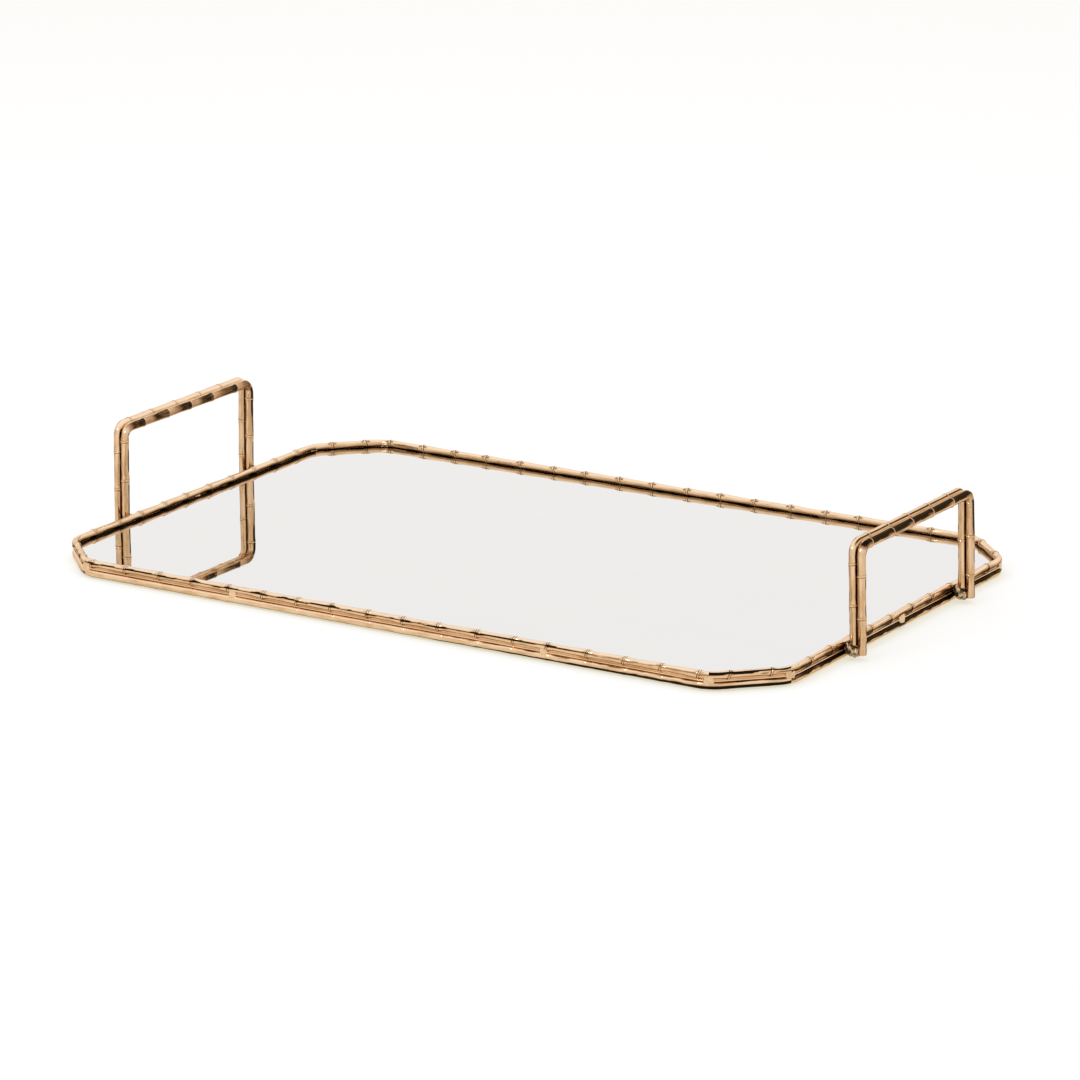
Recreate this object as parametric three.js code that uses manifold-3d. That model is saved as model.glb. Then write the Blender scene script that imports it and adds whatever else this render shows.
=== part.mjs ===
// Dresser vanity tray: an eight-sided mirror in a double ring of faux-bamboo rods, with a
// double-rod hoop handle at each short end. Millimetres, +Z up, +X along the length,
// origin in the middle of the footprint on the resting plane.
import * as THREE from 'three';
import { mergeVertices } from 'three/addons/utils/BufferGeometryUtils.js';
import Module from 'manifold-3d';

// ---- driving dimensions ----
const RAIL_LENGTH = 480;        // between the centrelines of the two end rails
const RAIL_WIDTH = 314;         // between the centrelines of the two long rails
const CORNER_CUT = 32.5;        // each corner is cut off by this much on both sides
const LOWER_Z = 2.9;            // centre height of the lower ring
const UPPER_Z = 8.85;           // centre height of the upper ring
const ROD_NODE_R = 2.2;         // frame rod radius at a bamboo node
const ROD_WAIST_R = 1.85;       // and just beyond the node, where it is thinnest
const MITRE_GAP = 0.15;         // each rod end stands this far off the mitre plane
const LONG_NODES = 18;          // bamboo nodes on a long rail
const LONG_PITCH = 23.8;
const END_NODES = 10;           // and on an end rail
const END_PITCH = 23.4;
const CORNER_PITCH = 23.4;      // the short corner rods carry two nodes each
const COLLAR = 0.55;            // half length of the raised node collar
const TAPER = 2.4;              // the waist lies this far beyond the node

const FLANGE_OUT = 1.9;         // pan flange reaches this far outside the rod centreline
const FLANGE_T = 0.8;
const FLANGE_TOP = 6.3;
const PAN_IN = 2.55;            // pan wall stands this far inside the rod centreline
const PAN_SHEET = 0.8;
const PAN_BOTTOM = 2.1;
const GLASS_TOP = 6.8;          // the mirror stands a little proud of the flange
const GLASS_T = 3.6;
const FELT_IN = 2.9;
const FELT_T = 1.8;
const GAP = 0.3;                // clearance between neighbouring pieces

// The hoops are bent by hand: centre heights of the two top bars, and the lean inwards in degrees.
const HOOPS = [
  { side: 'left', sign: -1, outerTop: 63.9, innerTop: 62.1, lean: 0.5 },
  { side: 'right', sign: 1, outerTop: 64.6, innerTop: 65.9, lean: 1.7 },
];
const HANDLE_HALF = 64.6;       // half the distance between the legs
const HANDLE_BEND = 6.3;        // centreline radius of the two top corners
const OUTER_OFF = 11.3;         // outer rod axis, outside the end rail centreline
const INNER_OFF = 6.2;          // inner rod axis
const OUTER_FOOT = 3.2;         // height of the cut end of the outer legs
const INNER_FOOT = 8.7;         // the inner legs stop on the weld
const HANDLE_NODE_R = 2.55;
const HANDLE_WAIST_R = 2.3;
const HANDLE_PITCH = 23.5;
const OUTER_FIRST = 21.4;       // first node, measured along the rod from its foot
const INNER_FIRST = 22.3;
const SIDES = 8;                // facets around a rod

const BRASS = 0xc79a5b;
const WELD = 0x8f7250;
const GLASS = 0xe9eaea;
const FELT = 0x26221f;

const wasm = await Module();
wasm.setup();
const group = new THREE.Group();
group.name = 'dresser_vanity_tray';

function material(name, color, metalness, roughness) {
  const m = new THREE.MeshStandardMaterial({ color, metalness, roughness });
  m.name = name;
  return m;
}

function add(name, geometry, color, metalness, roughness) {
  const mesh = new THREE.Mesh(geometry, material(name, color, metalness, roughness));
  mesh.name = name;
  group.add(mesh);
}

function addBrass(name, geometry) {
  add(name, geometry, BRASS, 1.0, 0.25);
}

// ---- solids ----
function solid(geometry) {
  const g = geometry.clone();
  g.deleteAttribute('normal');
  g.deleteAttribute('uv');
  const m = mergeVertices(g, 1e-4);
  return new wasm.Manifold(new wasm.Mesh({
    numProp: 3,
    vertProperties: new Float32Array(m.attributes.position.array),
    triVerts: new Uint32Array(m.index.array),
  }));
}

function toGeometry(manifold) {
  const mesh = manifold.getMesh();
  const g = new THREE.BufferGeometry();
  g.setAttribute('position', new THREE.BufferAttribute(new Float32Array(mesh.vertProperties), 3));
  g.setIndex(new THREE.BufferAttribute(new Uint32Array(mesh.triVerts), 1));
  g.computeVertexNormals();
  return g;
}

// ---- the eight-sided outline, offset outwards by d ----
function outline(d) {
  const a = RAIL_LENGTH / 2 + d;
  const b = RAIL_WIDTH / 2 + d;
  const c = CORNER_CUT + d * (2 - Math.SQRT2);
  return [
    [-a + c, -b], [a - c, -b], [a, -b + c], [a, b - c],
    [a - c, b], [-a + c, b], [-a, b - c], [-a, -b + c],
  ].map(([x, y]) => new THREE.Vector2(x, y));
}

function plate(d, z0, z1) {
  const shape = new THREE.Shape(outline(d));
  const g = new THREE.ExtrudeGeometry(shape, { depth: z1 - z0, bevelEnabled: false, steps: 1 });
  g.translate(0, 0, z0);
  return g;
}

// ---- bamboo rods ----
// A rod is a stack of rings. Each ring has a centre p, the rod direction t there, the normal n
// of the plane it lies in (the mitre plane at a mitred end) and a radius r.
function rodGeometry(rings, up) {
  const positions = [];
  const index = [];
  for (const { p, t, n, r } of rings) {
    const side = new THREE.Vector3().crossVectors(t, up).normalize();
    const top = new THREE.Vector3().crossVectors(side, t).normalize();
    for (let k = 0; k < SIDES; k += 1) {
      const a = ((k + 0.5) / SIDES) * 2 * Math.PI;
      const q = side.clone().multiplyScalar(r * Math.cos(a)).addScaledVector(top, r * Math.sin(a));
      q.addScaledVector(t, -q.dot(n) / t.dot(n));
      q.add(p);
      positions.push(q.x, q.y, q.z);
    }
  }
  for (let i = 0; i + 1 < rings.length; i += 1) {
    for (let k = 0; k < SIDES; k += 1) {
      const a = i * SIDES + k;
      const b = i * SIDES + ((k + 1) % SIDES);
      index.push(a, a + SIDES, b, b, a + SIDES, b + SIDES);
    }
  }
  const last = (rings.length - 1) * SIDES;
  for (let k = 1; k + 1 < SIDES; k += 1) {
    index.push(0, k, k + 1);
    index.push(last, last + k + 1, last + k);
  }
  const g = new THREE.BufferGeometry();
  g.setAttribute('position', new THREE.BufferAttribute(new Float32Array(positions), 3));
  g.setIndex(index);
  return g;
}

// Radius profile along a rod of the given length: a collar at every node, the waist just
// beyond it, and a steady flare up to the next collar.
function profile(length, nodes, nodeR, waistR, flat) {
  const out = [];
  const mid = (nodeR + waistR) / 2;
  out.push([0, mid]);
  for (const u of nodes) {
    if (flat) out.push([u, nodeR]);
    else out.push([u - COLLAR, nodeR], [u + COLLAR, nodeR]);
    if (u + TAPER < length - 0.8) out.push([u + TAPER, waistR]);
  }
  out.push([length, mid]);
  return out.filter(([u], i) => i === 0 || i === out.length - 1 || (u > 0.8 && u < length - 0.8));
}

// Node positions centred on the rod.
function centred(length, count, pitch) {
  const first = (length - (count - 1) * pitch) / 2;
  return Array.from({ length: count }, (_, i) => first + i * pitch);
}

// One straight rod of a ring, mitred against its neighbours.
function railGeometry(before, a, b, after, z, nodes, flat) {
  const v = (q) => new THREE.Vector3(q.x, q.y, z);
  const start = v(a);
  const end = v(b);
  const t = end.clone().sub(start).normalize();
  const tPrev = start.clone().sub(v(before)).normalize();
  const tNext = v(after).sub(end).normalize();
  const nStart = t.clone().add(tPrev).normalize();
  const nEnd = t.clone().add(tNext).normalize();
  const length = start.distanceTo(end);
  const rows = profile(length, nodes, ROD_NODE_R, ROD_WAIST_R, flat);
  const rings = rows.map(([u, r], i) => {
    const first = i === 0;
    const last = i === rows.length - 1;
    let n = t;
    let s = u;
    if (first) { n = nStart; s = MITRE_GAP / t.dot(n); }
    if (last) { n = nEnd; s = length - MITRE_GAP / t.dot(n); }
    return { p: start.clone().addScaledVector(t, s), t, n, r };
  });
  return rodGeometry(rings, new THREE.Vector3(0, 0, 1));
}

const corners = outline(0);
const RAILS = [
  ['rail_front', LONG_NODES, LONG_PITCH], ['corner_fr', 2, CORNER_PITCH],
  ['rail_right', END_NODES, END_PITCH], ['corner_br', 2, CORNER_PITCH],
  ['rail_back', LONG_NODES, LONG_PITCH], ['corner_bl', 2, CORNER_PITCH],
  ['rail_left', END_NODES, END_PITCH], ['corner_fl', 2, CORNER_PITCH],
];
for (const [ring, z, flat] of [['upper', UPPER_Z, false], ['lower', LOWER_Z, true]]) {
  RAILS.forEach(([name, count, pitch], i) => {
    const c = (k) => corners[(i + k + 8) % 8];
    const nodes = centred(c(0).distanceTo(c(1)), count, pitch);
    const g = railGeometry(c(-1), c(0), c(1), c(2), z, nodes, flat);
    addBrass(`${ring}_${name}`, g);
  });
}

// ---- pan, mirror and backing ----
const cavity = solid(plate(-PAN_IN - PAN_SHEET, PAN_BOTTOM + PAN_SHEET, FLANGE_TOP + 5));
const pan = solid(plate(FLANGE_OUT, FLANGE_TOP - FLANGE_T, FLANGE_TOP))
  .add(solid(plate(-PAN_IN, PAN_BOTTOM, FLANGE_TOP)))
  .subtract(cavity);
addBrass('mirror_pan', toGeometry(pan));
const glassIn = PAN_IN + PAN_SHEET + GAP;
add('mirror_glass', plate(-glassIn, GLASS_TOP - GLASS_T, GLASS_TOP), GLASS, 1.0, 0.03);
add('felt_base', plate(-FELT_IN, 0, FELT_T), FELT, 0.0, 0.95);

// ---- handles ----
// Tilts a point about the foot of the outer leg, so that the top of the hoop leans inwards.
function tilt(hoop, p) {
  const a = THREE.MathUtils.degToRad(hoop.lean);
  const x = p.x - hoop.sign * (RAIL_LENGTH / 2 + OUTER_OFF);
  const z = p.z - OUTER_FOOT;
  p.x += x * (Math.cos(a) - 1) - hoop.sign * z * Math.sin(a);
  p.z += z * (Math.cos(a) - 1) + hoop.sign * x * Math.sin(a);
  return p;
}

// The two rods of a hoop: axis offset, height of the feet, centre height of the bar, first node.
function outerRod(hoop) {
  return { off: OUTER_OFF, foot: OUTER_FOOT, top: hoop.outerTop, first: OUTER_FIRST };
}

function innerRod(hoop) {
  return { off: INNER_OFF, foot: INNER_FOOT, top: hoop.innerTop, first: INNER_FIRST };
}

// Point and direction at distance s along a rod that starts at the foot of the front leg.
function hoopAt(hoop, rod, s) {
  const leg = rod.top - HANDLE_BEND - rod.foot;
  const arc = (Math.PI / 2) * HANDLE_BEND;
  const bar = 2 * (HANDLE_HALF - HANDLE_BEND);
  const total = 2 * leg + 2 * arc + bar;
  const back = s > total / 2;
  const u = back ? total - s : s;
  let y;
  let z;
  let ty;
  let tz;
  if (u <= leg) {
    [y, z, ty, tz] = [-HANDLE_HALF, rod.foot + u, 0, 1];
  } else if (u <= leg + arc) {
    const a = (u - leg) / HANDLE_BEND;
    y = -HANDLE_HALF + HANDLE_BEND * (1 - Math.cos(a));
    z = rod.top - HANDLE_BEND * (1 - Math.sin(a));
    [ty, tz] = [Math.sin(a), Math.cos(a)];
  } else {
    [y, z, ty, tz] = [-HANDLE_HALF + HANDLE_BEND + u - leg - arc, rod.top, 1, 0];
  }
  if (back) [y, tz] = [-y, -tz];
  const p = tilt(hoop, new THREE.Vector3(hoop.sign * (RAIL_LENGTH / 2 + rod.off), y, z));
  const a = THREE.MathUtils.degToRad(hoop.lean);
  const t = new THREE.Vector3(-hoop.sign * tz * Math.sin(a), ty, tz * Math.cos(a));
  return { p, t, total, leg, arc };
}

function hoopGeometry(hoop, rod) {
  const { total, leg, arc } = hoopAt(hoop, rod, 0);
  const nodes = [];
  for (let u = rod.first; u < total - 6; u += HANDLE_PITCH) nodes.push(u);
  const rows = profile(total, nodes, HANDLE_NODE_R, HANDLE_WAIST_R, false);
  const radiusAt = (s) => {
    const i = Math.max(1, rows.findIndex(([u]) => u >= s));
    const [u0, r0] = rows[i - 1];
    const [u1, r1] = rows[i];
    return r0 + ((r1 - r0) * (s - u0)) / (u1 - u0);
  };
  for (const start of [leg, total - leg - arc]) {
    for (let k = 0; k <= 4; k += 1) {
      const s = start + (arc * k) / 4;
      if (rows.every(([u]) => Math.abs(u - s) > 0.7)) rows.push([s, radiusAt(s)]);
      rows.sort((p, q) => p[0] - q[0]);
    }
  }
  const rings = rows.map(([s, r]) => {
    const { p, t } = hoopAt(hoop, rod, s);
    return { p, t, n: t, r };
  });
  return rodGeometry(rings, new THREE.Vector3(1, 0, 0));
}

for (const hoop of HOOPS) {
  addBrass(`handle_${hoop.side}_outer`, hoopGeometry(hoop, outerRod(hoop)));
  addBrass(`handle_${hoop.side}_inner`, hoopGeometry(hoop, innerRod(hoop)));
}

// ---- welds ----
// Everything a weld lump must stay clear of: both rings, the pan flange and the handle legs.
function bar(a, b, r) {
  const d = b.clone().sub(a);
  const g = new THREE.CylinderGeometry(r, r, d.length(), SIDES, 1);
  g.rotateY(Math.PI / SIDES);
  const q = new THREE.Quaternion().setFromUnitVectors(new THREE.Vector3(0, 1, 0), d.normalize());
  g.applyQuaternion(q);
  const m = a.clone().add(b).multiplyScalar(0.5);
  g.translate(m.x, m.y, m.z);
  return solid(g);
}

let clear = solid(plate(FLANGE_OUT + GAP, FLANGE_TOP - FLANGE_T - GAP, FLANGE_TOP + GAP));
const keep = ROD_NODE_R + 0.4;
for (const z of [LOWER_Z, UPPER_Z]) {
  corners.forEach((q, i) => {
    const r = corners[(i + 1) % 8];
    const a = new THREE.Vector3(q.x, q.y, z);
    const b = new THREE.Vector3(r.x, r.y, z);
    const t = b.clone().sub(a).normalize();
    clear = clear.add(bar(a.addScaledVector(t, -1), b.addScaledVector(t, 1), keep));
  });
}
for (const hoop of HOOPS) {
  for (const sy of [-1, 1]) {
    for (const [off, foot] of [[OUTER_OFF, OUTER_FOOT - 2], [INNER_OFF, INNER_FOOT - GAP]]) {
      const a = new THREE.Vector3(hoop.sign * (RAIL_LENGTH / 2 + off), sy * HANDLE_HALF, foot);
      const b = tilt(hoop, a.clone().setZ(foot + 14));
      clear = clear.add(bar(tilt(hoop, a), b, HANDLE_NODE_R + 0.4));
    }
  }
}

function lump(center, radii, turn) {
  const g = new THREE.SphereGeometry(1, 8, 5);
  g.rotateX(Math.PI / 2);
  g.scale(...radii);
  g.rotateZ(turn);
  g.translate(...center);
  return solid(g);
}

function addWeld(name, lumps) {
  const body = lumps.reduce((p, q) => p.add(q)).subtract(clear);
  const parts = body.decompose().sort((p, q) => q.volume() - p.volume());
  add(name, toGeometry(parts[0]), WELD, 1.0, 0.5);
}

const MID_Z = (LOWER_Z + UPPER_Z) / 2;
function ringWeld(name, x, y, nx, ny, along) {
  const off = 2.2;
  addWeld(name, [lump([x + nx * off, y + ny * off, MID_Z], [1.75, along, 3.5], Math.atan2(ny, nx))]);
}

const CORNER_NAMES = ['fl_front', 'fr_front', 'fr_end', 'br_end', 'br_back', 'bl_back', 'bl_end', 'fl_end'];
corners.forEach((q, i) => {
  const out = outline(1)[i].clone().sub(q).normalize();
  ringWeld(`weld_corner_${CORNER_NAMES[i]}`, q.x, q.y, out.x, out.y, 3.2);
});
const QUARTER = (RAIL_LENGTH - 2 * CORNER_CUT) / 4;
for (const [tag, sign] of [['l', -1], ['r', 1]]) {
  ringWeld(`weld_front_${tag}`, sign * QUARTER, -RAIL_WIDTH / 2, 0, -1, 2.8);
  ringWeld(`weld_back_${tag}`, sign * QUARTER, RAIL_WIDTH / 2, 0, 1, 2.8);
}
ringWeld('weld_end_left', -RAIL_LENGTH / 2, 0, -1, 0, 2.8);
ringWeld('weld_end_right', RAIL_LENGTH / 2, 0, 1, 0, 2.8);

for (const hoop of HOOPS) {
  for (const [end, sy] of [['front', -1], ['back', 1]]) {
    const x = (off) => hoop.sign * (RAIL_LENGTH / 2 + off);
    const y = sy * HANDLE_HALF;
    addWeld(`weld_leg_${hoop.side}_${end}`, [
      lump([x(4.0), y, 5.9], [2.4, 3.4, 3.6], 0),
      lump([x(6.7), y - 0.4, 5.2], [2.8, 3.0, 3.2], 0),
      lump([x(8.2), y + 0.3, 5.0], [1.9, 2.4, 2.1], 0),
    ]);
  }
}

export default group;
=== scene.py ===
"""Looks for the dresser vanity tray: brass faux-bamboo rods, hoop handles, welds and mirror.

Every length is in millimetres times MM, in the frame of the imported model: +X along the
length, +Z up, origin on the resting plane in the middle of the footprint.
"""

import math
import random

import bmesh
import bpy
import numpy as np
from mathutils import Matrix, Vector, noise


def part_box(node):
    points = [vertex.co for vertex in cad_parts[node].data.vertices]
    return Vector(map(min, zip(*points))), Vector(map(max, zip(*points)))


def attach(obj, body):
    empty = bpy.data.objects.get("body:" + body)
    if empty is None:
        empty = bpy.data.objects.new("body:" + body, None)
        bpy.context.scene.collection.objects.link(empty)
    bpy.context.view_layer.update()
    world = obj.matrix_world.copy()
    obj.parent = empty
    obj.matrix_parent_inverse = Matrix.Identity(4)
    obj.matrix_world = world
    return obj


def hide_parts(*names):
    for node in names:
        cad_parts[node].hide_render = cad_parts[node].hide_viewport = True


MM = 0.001
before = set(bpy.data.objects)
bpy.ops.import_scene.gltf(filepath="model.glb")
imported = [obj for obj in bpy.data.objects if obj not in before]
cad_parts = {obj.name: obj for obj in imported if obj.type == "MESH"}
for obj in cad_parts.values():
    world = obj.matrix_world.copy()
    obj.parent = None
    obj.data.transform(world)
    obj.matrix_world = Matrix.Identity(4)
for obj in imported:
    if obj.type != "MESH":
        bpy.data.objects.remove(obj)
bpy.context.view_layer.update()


def middle(node):
    low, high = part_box(node)
    return (low + high) / 2


# ---- driving dimensions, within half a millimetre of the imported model's ----
HALF_LENGTH = middle("upper_rail_right").x
HALF_WIDTH = middle("upper_rail_back").y
UPPER_Z = middle("upper_rail_front").z
LOWER_Z = middle("lower_rail_front").z
CORNER_CUT = 32.5 * MM
BEND = 8.0 * MM
ROD_NODE_R = 2.36 * MM
ROD_WAIST_R = 1.9 * MM
LOWER_NODE_R = 2.2 * MM
LOWER_WAIST_R = 2.1 * MM
LONG_NODES, LONG_PITCH = 18, 23.8 * MM
END_NODES, END_PITCH = 10, 23.4 * MM
CORNER_NODES, CORNER_PITCH = 2, 23.4 * MM

HANDLE_HALF = 64.6 * MM
HANDLE_BEND = 6.3 * MM
OUTER_OFF, OUTER_FOOT, OUTER_FIRST = 11.3 * MM, 3.2 * MM, 21.4 * MM
INNER_OFF, INNER_FOOT, INNER_FIRST = 6.2 * MM, 8.7 * MM, 22.3 * MM
HANDLE_PITCH = 23.5 * MM
HANDLE_NODE_R = 2.6 * MM
HANDLE_WAIST_R = 2.38 * MM
# side of the tray, heights of the two bars, and how far the hoop leans inwards
HOOPS = [
    {"side": "left", "sign": -1, "outer": 63.7 * MM, "inner": 62.5 * MM,
     "lean": math.radians(0.5)},
    {"side": "right", "sign": 1, "outer": 64.8 * MM, "inner": 65.9 * MM,
     "lean": math.radians(1.7)},
]

PAN_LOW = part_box("mirror_pan")[0].z
FLANGE_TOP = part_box("mirror_pan")[1].z
FLANGE_OUT = 1.7 * MM
FLANGE_T = 0.88 * MM
ROLLED_EDGE_R = 0.42 * MM
SEAM_HALF = 0.25 * MM
SEAM_TOP = FLANGE_TOP + 0.85 * MM
PAN_IN = 2.55 * MM
PAN_SHEET = 0.8 * MM
GLASS_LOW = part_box("mirror_glass")[0].z
GLASS_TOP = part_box("mirror_glass")[1].z
GLASS_LAP = 0.95 * MM
GLASS_IN = PAN_IN + PAN_SHEET + 0.1 * MM
FELT_IN = 2.9 * MM
FELT_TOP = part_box("felt_base")[1].z

# ---- camera: the viewpoint of the photograph ----
AZIMUTH = math.radians(31.73)
ELEVATION = math.radians(16.03)
DISTANCE = 3120 * MM
AIM = Vector((-23.6, 44.2, 0.7)) * MM
LENS = 175.9
SENSOR = 36.0
CLIP_END = 50.0


# ---- node helpers ----
class Shader:
    """A small builder for a Principled material made of procedural nodes."""

    def __init__(self, name):
        self.material = bpy.data.materials.new(name)
        self.material.use_nodes = True
        self.tree = self.material.node_tree
        self.bsdf = self.tree.nodes["Principled BSDF"]

    def node(self, kind, **values):
        n = self.tree.nodes.new(kind)
        for key, value in values.items():
            setattr(n, key, value)
        return n

    def link(self, a, b):
        self.tree.links.new(a, b)

    def attribute(self, name, output="Fac"):
        return self.node("ShaderNodeAttribute", attribute_name=name).outputs[output]

    def place(self):
        return self.node("ShaderNodeTexCoord").outputs["Object"]

    def stretched(self, vector, scale):
        n = self.node("ShaderNodeMapping")
        n.inputs["Scale"].default_value = scale
        self.link(vector, n.inputs["Vector"])
        return n.outputs["Vector"]

    def noise(self, vector, scale, detail=3.0, roughness=0.5):
        n = self.node("ShaderNodeTexNoise")
        n.inputs["Scale"].default_value = scale
        n.inputs["Detail"].default_value = detail
        n.inputs["Roughness"].default_value = roughness
        self.link(vector, n.inputs["Vector"])
        return n.outputs["Fac"]

    def ramp(self, value, low, high, out_low=0.0, out_high=1.0):
        n = self.node("ShaderNodeMapRange", interpolation_type="SMOOTHSTEP")
        n.inputs["From Min"].default_value = low
        n.inputs["From Max"].default_value = high
        n.inputs["To Min"].default_value = out_low
        n.inputs["To Max"].default_value = out_high
        self.link(value, n.inputs["Value"])
        return n.outputs["Result"]

    def math(self, operation, a, b):
        n = self.node("ShaderNodeMath", operation=operation)
        for socket, value in zip(n.inputs, (a, b)):
            if isinstance(value, (int, float)):
                socket.default_value = value
            else:
                self.link(value, socket)
        return n.outputs["Value"]

    def mix(self, fac, a, b):
        n = self.node("ShaderNodeMix", data_type="RGBA")
        self.link(fac, n.inputs["Factor"])
        for socket, value in ((n.inputs["A"], a), (n.inputs["B"], b)):
            if isinstance(value, tuple):
                socket.default_value = (*value, 1.0)
            else:
                self.link(value, socket)
        return n.outputs["Result"]

    def bump(self, height, distance, strength=1.0, under=None):
        n = self.node("ShaderNodeBump")
        n.inputs["Strength"].default_value = strength
        n.inputs["Distance"].default_value = distance
        self.link(height, n.inputs["Height"])
        if under is not None:
            self.link(under, n.inputs["Normal"])
        return n.outputs["Normal"]

    def set(self, socket, value):
        if isinstance(value, (int, float)):
            self.bsdf.inputs[socket].default_value = value
        elif isinstance(value, tuple):
            self.bsdf.inputs[socket].default_value = (*value, 1.0)
        else:
            self.link(value, self.bsdf.inputs[socket])


# ---- materials ----
# brass from gold to tarnished, the pale gold of the painted top highlight, the near black that
# also paints dark reflections and shade, and the tint of its reflections at a glancing angle
PAINTED_HIGHLIGHT_GOLD = (0.96, 0.745, 0.54)
GOLD = (0.81, 0.565, 0.345)
GOLD_DEEP = (0.65, 0.41, 0.21)
BROWN = (0.38, 0.205, 0.09)
TARNISH_AND_SHADE_BLACK = (0.012, 0.008, 0.005)
RIM = (0.82, 0.68, 0.56, 1.0)


def brass_material():
    """Polished antique brass. The attribute rod holds (distance along, cos, sin around), dark
    says how much patina, painted shade and painted dark reflection lie on a spot, and sky how far
    it faces up: the tops of the rods get a paler painted highlight."""
    s = Shader("antique_brass")
    rod = s.attribute("rod", "Vector")
    dark = s.attribute("dark")
    place = s.place()
    cloud = s.noise(s.stretched(rod, (90.0, 0.8, 0.8)), 1.0, 3.0)
    streak = s.noise(s.stretched(rod, (130.0, 2.6, 2.6)), 1.0, 3.0, 0.55)
    brush = s.noise(s.stretched(rod, (160.0, 7.0, 7.0)), 1.0, 3.0, 0.6)
    speck = s.noise(place, 1400.0, 2.0, 0.6)
    dent = s.noise(place, 420.0, 2.0, 0.5)
    tone = s.mix(s.ramp(cloud, 0.38, 0.68), GOLD, GOLD_DEEP)
    # painted highlight: the tops that face up are mixed towards the pale highlight gold
    facing_up = s.ramp(s.attribute("sky"), 0.3, 0.75)
    painted_top_highlight = s.math("MULTIPLY", facing_up, s.ramp(cloud, 0.6, 0.75, 1.0, 0.5))
    tone = s.mix(painted_top_highlight, tone, PAINTED_HIGHLIGHT_GOLD)
    spots = s.math("MULTIPLY", s.ramp(speck, 0.66, 0.74), s.ramp(cloud, 0.45, 0.6, 0.0, 0.8))
    # dark holds patina in the grooves together with painted shade and painted dark reflections;
    # it turns the colour brown, then near black
    broken = s.math("MULTIPLY", dark, s.ramp(brush, 0.3, 0.6, 0.72, 1.0))
    stain = s.math("MAXIMUM", broken, spots)
    browned = s.mix(s.ramp(stain, 0.03, 0.5), tone, BROWN)
    s.set("Base Color", s.mix(s.ramp(stain, 0.4, 0.74), browned, TARNISH_AND_SHADE_BLACK))
    s.bsdf.inputs["Specular Tint"].default_value = RIM
    s.set("Metallic", 1.0)
    shine = s.ramp(streak, 0.3, 0.75, 0.07, 0.15)
    s.set("Roughness", s.math("ADD", shine, s.math("MULTIPLY", stain, 0.1)))
    s.set("Normal", s.bump(speck, 0.02 * MM, 0.2, s.bump(dent, 0.07 * MM, 0.4)))
    return s.material


def pan_material():
    """Sheet brass, rolled, a little duller than the rods."""
    s = Shader("sheet_brass")
    place = s.place()
    cloud = s.noise(place, 60.0, 3.0)
    pit = s.noise(place, 900.0, 2.0)
    s.set("Base Color", s.mix(s.ramp(cloud, 0.35, 0.7), GOLD, GOLD_DEEP))
    s.set("Metallic", 1.0)
    s.set("Roughness", s.ramp(cloud, 0.3, 0.7, 0.12, 0.2))
    s.set("Normal", s.bump(pit, 0.01 * MM, 0.2))
    return s.material


def weld_material():
    """Braze metal: mottled gold and grey-brown, pitted."""
    s = Shader("braze_metal")
    place = s.place()
    cloud = s.noise(place, 420.0, 4.0, 0.6)
    pit = s.noise(place, 1500.0, 3.0, 0.6)
    tone = s.mix(s.ramp(cloud, 0.4, 0.56), (0.72, 0.52, 0.32), (0.22, 0.16, 0.105))
    s.set("Base Color", s.mix(s.ramp(pit, 0.52, 0.66), tone, TARNISH_AND_SHADE_BLACK))
    s.set("Metallic", 1.0)
    s.set("Roughness", s.ramp(cloud, 0.35, 0.65, 0.18, 0.4))
    s.set("Normal", s.bump(pit, 0.1 * MM, 0.9))
    return s.material


def fillet_material():
    """The smooth bridging beads of the rings, polished with the rods."""
    s = Shader("braze_fillet")
    place = s.place()
    cloud = s.noise(place, 260.0, 3.0)
    pit = s.noise(place, 1300.0, 3.0, 0.6)
    tone = s.mix(s.ramp(cloud, 0.4, 0.7), GOLD, GOLD_DEEP)
    s.set("Base Color", s.mix(s.ramp(pit, 0.62, 0.75), tone, TARNISH_AND_SHADE_BLACK))
    s.set("Metallic", 1.0)
    s.set("Roughness", s.ramp(cloud, 0.3, 0.7, 0.12, 0.26))
    s.set("Normal", s.bump(pit, 0.03 * MM, 0.5))
    return s.material


def mirror_material():
    """Silvered glass: almost perfectly smooth, with a faint haze of wipe marks."""
    s = Shader("silvered_glass")
    place = s.place()
    haze = s.noise(s.stretched(place, (9.0, 30.0, 1.0)), 1.0, 4.0)
    clear, hazed = (0.822, 0.815, 0.803), (0.812, 0.807, 0.798)
    s.set("Base Color", s.mix(s.ramp(haze, 0.3, 0.7), clear, hazed))
    s.set("Metallic", 1.0)
    s.set("Roughness", s.ramp(haze, 0.45, 0.75, 0.008, 0.03))
    return s.material


def felt_material():
    """Short dark felt."""
    s = Shader("felt")
    place = s.place()
    fibre = s.noise(s.stretched(place, (900.0, 1500.0, 900.0)), 1.0, 5.0, 0.7)
    cloud = s.noise(place, 45.0, 3.0)
    tone = s.mix(s.ramp(cloud, 0.3, 0.7), (0.018, 0.015, 0.013), (0.032, 0.027, 0.023))
    s.set("Base Color", s.mix(s.ramp(fibre, 0.5, 0.8), tone, (0.07, 0.06, 0.05)))
    s.set("Roughness", 0.95)
    s.set("Sheen Weight", 0.3)
    s.set("Normal", s.bump(fibre, 0.25 * MM, 0.8))
    return s.material


BRASS = brass_material()
PAN_BRASS = pan_material()
BRAZE = weld_material()
FILLET = fillet_material()
MIRROR = mirror_material()
FELT = felt_material()


# ---- pieces ----
def piece(name, mesh, material, node):
    """Puts a finished mesh in the scene in place of a CAD node."""
    mesh.materials.append(material)
    obj = bpy.data.objects.new(name, mesh)
    bpy.context.scene.collection.objects.link(obj)
    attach(obj, "root")
    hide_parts(node)


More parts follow.
